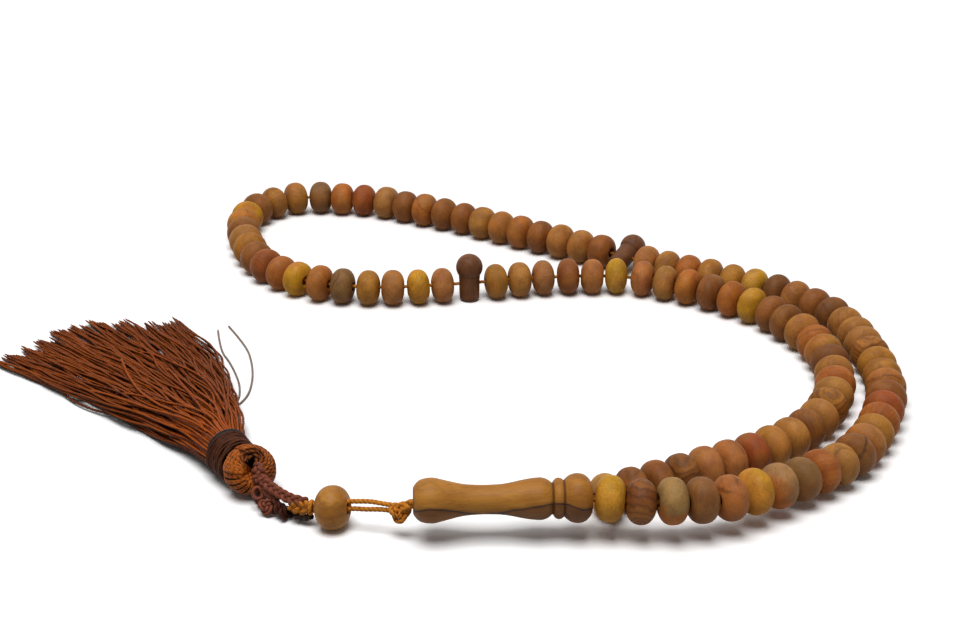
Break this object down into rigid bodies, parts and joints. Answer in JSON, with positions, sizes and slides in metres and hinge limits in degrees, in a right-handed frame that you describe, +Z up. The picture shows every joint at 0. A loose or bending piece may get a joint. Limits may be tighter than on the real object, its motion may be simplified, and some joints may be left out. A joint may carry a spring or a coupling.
{
  "type": "misbaha prayer beads",
  "caption": "Loop of turned wooden prayer beads with two divider beads, a turned end piece, a small sliding bead, a whipped cord and a yarn tassel, laid down on a table.",
  "frame": {"origin": "middle of the bounding box on the table it lies on", "axes": "+Z up, +X along the longer side of the layout, from the tassel towards the outer bend, +Y from the turned end piece to the far bend"},
  "size_m": [0.1792, 0.172, 0.0115],
  "materials": {
    "bead_wood": "matte turned olive wood, each bead its own tone",
    "imame_wood": "matte turned olive wood with one dark grain line",
    "marker_wood": "dark turned wood, matte",
    "small_bead_wood": "matte yellow-tan wood",
    "gold_cord": "twisted gold-brown cord",
    "burnt_cord": "burnt cord end",
    "maroon_braid": "chain-stitched maroon cord",
    "tassel_yarn": "twisted rust-coloured yarn",
    "brown_thread": "fine dark brown thread",
    "black_thread": "black thread"
  },
  "bodies": {
    "string": {"stringing_cord": "gold_cord", "tail_strands": "gold_cord", "end_knot": "gold_cord", "whipped_knot": "gold_cord", "cord_end": "burnt_cord"},
    "hanger": {"hanger_braid": "maroon_braid"},
    "tassel": {"tassel_head": "tassel_yarn", "neck_wrap": "brown_thread", "neck_band": "black_thread", "tassel_skirt": "tassel_yarn", "loose_threads": "tassel_yarn"},
    "imame": {"imame": "imame_wood"},
    "marker_bead_1": {"marker_bead_1": "marker_wood"},
    "marker_bead_2": {"marker_bead_2": "marker_wood"},
    "small_bead": {"small_bead": "small_bead_wood"},
    "outer_01": {"outer_01": "bead_wood"},
    "outer_02": {"outer_02": "bead_wood"},
    "outer_03": {"outer_03": "bead_wood"},
    "outer_04": {"outer_04": "bead_wood"},
    "outer_05": {"outer_05": "bead_wood"},
    "outer_06": {"outer_06": "bead_wood"},
    "outer_07": {"outer_07": "bead_wood"},
    "outer_08": {"outer_08": "bead_wood"},
    "outer_09": {"outer_09": "bead_wood"},
    "outer_10": {"outer_10": "bead_wood"},
    "outer_11": {"outer_11": "bead_wood"},
    "outer_12": {"outer_12": "bead_wood"},
    "outer_13": {"outer_13": "bead_wood"},
    "outer_14": {"outer_14": "bead_wood"},
    "far_01": {"far_01": "bead_wood"},
    "far_02": {"far_02": "bead_wood"},
    "far_03": {"far_03": "bead_wood"},
    "far_04": {"far_04": "bead_wood"},
    "far_05": {"far_05": "bead_wood"},
    "far_06": {"far_06": "bead_wood"},
    "far_07": {"far_07": "bead_wood"},
    "far_08": {"far_08": "bead_wood"},
    "far_09": {"far_09": "bead_wood"},
    "far_10": {"far_10": "bead_wood"},
    "far_11": {"far_11": "bead_wood"},
    "far_12": {"far_12": "bead_wood"},
    "far_13": {"far_13": "bead_wood"},
    "far_14": {"far_14": "bead_wood"},
    "far_15": {"far_15": "bead_wood"},
    "far_16": {"far_16": "bead_wood"},
    "far_17": {"far_17": "bead_wood"},
    "far_18": {"far_18": "bead_wood"},
    "inner_01": {"inner_01": "bead_wood"},
    "inner_02": {"inner_02": "bead_wood"},
    "inner_03": {"inner_03": "bead_wood"},
    "inner_04": {"inner_04": "bead_wood"},
    "inner_05": {"inner_05": "bead_wood"},
    "inner_06": {"inner_06": "bead_wood"},
    "inner_07": {"inner_07": "bead_wood"},
    "inner_08": {"inner_08": "bead_wood"},
    "inner_09": {"inner_09": "bead_wood"},
    "inner_10": {"inner_10": "bead_wood"},
    "inner_11": {"inner_11": "bead_wood"},
    "inner_12": {"inner_12": "bead_wood"},
    "inner_13": {"inner_13": "bead_wood"}
  },
  "joints": [
    {"name": "hanger_lift", "type": "hinge", "parent": "string", "child": "hanger", "pos_m": [-0.02626, -0.07445, 0.0027], "axis": [0.781, 0.6245, 0], "range_deg": [0, 60]},
    {"name": "head_swing", "type": "hinge", "parent": "hanger", "child": "tassel", "pos_m": [-0.03171, -0.06763, 0.0047], "axis": [0, 0, 1], "range_deg": [-18, 40]},
    {"name": "imame_spin", "type": "hinge", "parent": "string", "child": "imame", "pos_m": [0.01081, -0.08138, 0.0074], "axis": [0.9994, 0.0349, 0], "continuous": true},
    {"name": "marker_1_tilt", "type": "hinge", "parent": "string", "child": "marker_bead_1", "pos_m": [0.00475, 0.0232, 0.004], "axis": [0.9816, 0.1908, 0], "range_deg": [-75, 75]},
    {"name": "marker_2_tilt", "type": "hinge", "parent": "string", "child": "marker_bead_2", "pos_m": [0.04031, 0.03958, 0.004], "axis": [-0.788, 0.6157, 0], "range_deg": [-135, 25]},
    {"name": "pip_slide", "type": "slide", "parent": "string", "child": "small_bead", "axis": [0.9683, -0.2235, 0.1117], "range_m": [0, 0.0065]},
    {"name": "spin_outer_01", "type": "hinge", "parent": "string", "child": "outer_01", "pos_m": [0.0314, -0.08154, 0.00725], "axis": [0.9898, -0.1391, -0.0296], "continuous": true},
    {"name": "spin_outer_02", "type": "hinge", "parent": "string", "child": "outer_02", "pos_m": [0.04183, -0.08136, 0.00682], "axis": [0.9835, 0.1734, -0.051], "continuous": true},
    {"name": "spin_outer_03", "type": "hinge", "parent": "string", "child": "outer_03", "pos_m": [0.05364, -0.07603, 0.00579], "axis": [0.8252, 0.5566, -0.0957], "continuous": true},
    {"name": "spin_outer_04", "type": "hinge", "parent": "string", "child": "outer_04", "pos_m": [0.0658, -0.06671, 0.00456], "axis": [0.7531, 0.6547, -0.0648], "continuous": true},
    {"name": "spin_outer_05", "type": "hinge", "parent": "string", "child": "outer_05", "pos_m": [0.07455, -0.05718, 0.00402], "axis": [0.5446, 0.8387, -0.0049], "continuous": true},
    {"name": "spin_outer_06", "type": "hinge", "parent": "string", "child": "outer_06", "pos_m": [0.07946, -0.04813, 0.004], "axis": [0.4067, 0.9135, 0], "continuous": true},
    {"name": "spin_outer_07", "type": "hinge", "parent": "string", "child": "outer_07", "pos_m": [0.08314, -0.03857, 0.004], "axis": [0.309, 0.9511, 0], "continuous": true},
    {"name": "spin_outer_08", "type": "hinge", "parent": "string", "child": "outer_08", "pos_m": [0.0852, -0.0284, 0.004], "axis": [0.0872, 0.9962, 0], "continuous": true},
    {"name": "spin_outer_09", "type": "hinge", "parent": "string", "child": "outer_09", "pos_m": [0.08538, -0.01812, 0.004], "axis": [-0.0523, 0.9986, 0], "continuous": true},
    {"name": "spin_outer_10", "type": "hinge", "parent": "string", "child": "outer_10", "pos_m": [0.08468, -0.008, 0.004], "axis": [-0.0872, 0.9962, 0], "continuous": true},
    {"name": "spin_outer_11", "type": "hinge", "parent": "string", "child": "outer_11", "pos_m": [0.08243, 0.0024, 0.004], "axis": [-0.3256, 0.9455, 0], "continuous": true},
    {"name": "spin_outer_12", "type": "hinge", "parent": "string", "child": "outer_12", "pos_m": [0.07533, 0.01397, 0.004], "axis": [-0.6428, 0.766, 0], "continuous": true},
    {"name": "spin_outer_13", "type": "hinge", "parent": "string", "child": "outer_13", "pos_m": [0.06304, 0.02447, 0.004], "axis": [-0.8572, 0.515, 0], "continuous": true},
    {"name": "spin_outer_14", "type": "hinge", "parent": "string", "child": "outer_14", "pos_m": [0.04958, 0.03305, 0.004], "axis": [-0.829, 0.5592, 0], "continuous": true},
    {"name": "spin_far_01", "type": "hinge", "parent": "string", "child": "far_01", "pos_m": [0.0284, 0.04813, 0.004], "axis": [-0.8192, 0.5736, 0], "continuous": true},
    {"name": "spin_far_02", "type": "hinge", "parent": "string", "child": "far_02", "pos_m": [0.01, 0.06126, 0.004], "axis": [-0.809, 0.5878, 0], "continuous": true},
    {"name": "spin_far_03", "type": "hinge", "parent": "string", "child": "far_03", "pos_m": [-0.00903, 0.07362, 0.004], "axis": [-0.866, 0.5, 0], "continuous": true},
    {"name": "spin_far_04", "type": "hinge", "parent": "string", "child": "far_04", "pos_m": [-0.02763, 0.08091, 0.004], "axis": [-0.9848, 0.1736, 0], "continuous": true},
    {"name": "spin_far_05", "type": "hinge", "parent": "string", "child": "far_05", "pos_m": [-0.03941, 0.08118, 0.004], "axis": [-0.9205, -0.3907, 0], "continuous": true},
    {"name": "spin_far_06", "type": "hinge", "parent": "string", "child": "far_06", "pos_m": [-0.04451, 0.07787, 0.004], "axis": [-0.7314, -0.682, 0], "continuous": true},
    {"name": "spin_far_07", "type": "hinge", "parent": "string", "child": "far_07", "pos_m": [-0.04814, 0.07297, 0.004], "axis": [-0.4384, -0.8988, 0], "continuous": true},
    {"name": "spin_far_08", "type": "hinge", "parent": "string", "child": "far_08", "pos_m": [-0.0499, 0.06719, 0.004], "axis": [-0.1392, -0.9903, 0], "continuous": true},
    {"name": "spin_far_09", "type": "hinge", "parent": "string", "child": "far_09", "pos_m": [-0.05011, 0.06127, 0.004], "axis": [0.0698, -0.9976, 0], "continuous": true},
    {"name": "spin_far_10", "type": "hinge", "parent": "string", "child": "far_10", "pos_m": [-0.04935, 0.0555, 0.004], "axis": [0.1908, -0.9816, 0], "continuous": true},
    {"name": "spin_far_11", "type": "hinge", "parent": "string", "child": "far_11", "pos_m": [-0.04806, 0.04991, 0.004], "axis": [0.2588, -0.9659, 0], "continuous": true},
    {"name": "spin_far_12", "type": "hinge", "parent": "string", "child": "far_12", "pos_m": [-0.04638, 0.04441, 0.004], "axis": [0.3256, -0.9455, 0], "continuous": true},
    {"name": "spin_far_13", "type": "hinge", "parent": "string", "child": "far_13", "pos_m": [-0.04421, 0.03904, 0.004], "axis": [0.4226, -0.9063, 0], "continuous": true},
    {"name": "spin_far_14", "type": "hinge", "parent": "string", "child": "far_14", "pos_m": [-0.04138, 0.03394, 0.004], "axis": [0.5446, -0.8387, 0], "continuous": true},
    {"name": "spin_far_15", "type": "hinge", "parent": "string", "child": "far_15", "pos_m": [-0.03551, 0.02772, 0.004], "axis": [0.7547, -0.6561, 0], "continuous": true},
    {"name": "spin_far_16", "type": "hinge", "parent": "string", "child": "far_16", "pos_m": [-0.02574, 0.02231, 0.004], "axis": [0.9563, -0.2924, 0], "continuous": true},
    {"name": "spin_far_17", "type": "hinge", "parent": "string", "child": "far_17", "pos_m": [-0.01477, 0.02067, 0.004], "axis": [1, 0, 0], "continuous": true},
    {"name": "spin_far_18", "type": "hinge", "parent": "string", "child": "far_18", "pos_m": [-0.00382, 0.02163, 0.004], "axis": [0.9848, 0.1736, 0], "continuous": true},
    {"name": "spin_inner_01", "type": "hinge", "parent": "string", "child": "inner_01", "pos_m": [0.01592, 0.02551, 0.004], "axis": [0.9781, 0.2079, 0], "continuous": true},
    {"name": "spin_inner_02", "type": "hinge", "parent": "string", "child": "inner_02", "pos_m": [0.03218, 0.02737, 0.004], "axis": [0.9998, 0.0175, 0], "continuous": true},
    {"name": "spin_inner_03", "type": "hinge", "parent": "string", "child": "inner_03", "pos_m": [0.04812, 0.02354, 0.004], "axis": [0.8829, -0.4695, 0], "continuous": true},
    {"name": "spin_inner_04", "type": "hinge", "parent": "string", "child": "inner_04", "pos_m": [0.06148, 0.01401, 0.004], "axis": [0.7314, -0.682, 0], "continuous": true},
    {"name": "spin_inner_05", "type": "hinge", "parent": "string", "child": "inner_05", "pos_m": [0.07125, 0.0008, 0.004], "axis": [0.4384, -0.8988, 0], "continuous": true},
    {"name": "spin_inner_06", "type": "hinge", "parent": "string", "child": "inner_06", "pos_m": [0.07572, -0.01187, 0.004], "axis": [0.1564, -0.9877, 0], "continuous": true},
    {"name": "spin_inner_07", "type": "hinge", "parent": "string", "child": "inner_07", "pos_m": [0.07635, -0.02219, 0.004], "axis": [-0.0349, -0.9994, 0], "continuous": true},
    {"name": "spin_inner_08", "type": "hinge", "parent": "string", "child": "inner_08", "pos_m": [0.07482, -0.03245, 0.004], "axis": [-0.2588, -0.9659, 0], "continuous": true},
    {"name": "spin_inner_09", "type": "hinge", "parent": "string", "child": "inner_09", "pos_m": [0.07093, -0.04208, 0.004], "axis": [-0.4848, -0.8746, 0], "continuous": true},
    {"name": "spin_inner_10", "type": "hinge", "parent": "string", "child": "inner_10", "pos_m": [0.06482, -0.05049, 0.004], "axis": [-0.682, -0.7314, 0], "continuous": true},
    {"name": "spin_inner_11", "type": "hinge", "parent": "string", "child": "inner_11", "pos_m": [0.05715, -0.05739, 0.004], "axis": [-0.7986, -0.6018, 0], "continuous": true},
    {"name": "spin_inner_12", "type": "hinge", "parent": "string", "child": "inner_12", "pos_m": [0.04632, -0.06422, 0.004], "axis": [-0.8746, -0.4848, 0], "continuous": true},
    {"name": "spin_inner_13", "type": "hinge", "parent": "string", "child": "inner_13", "pos_m": [0.03298, -0.07146, 0.004], "axis": [-0.8829, -0.4695, 0], "continuous": true}
  ]
}
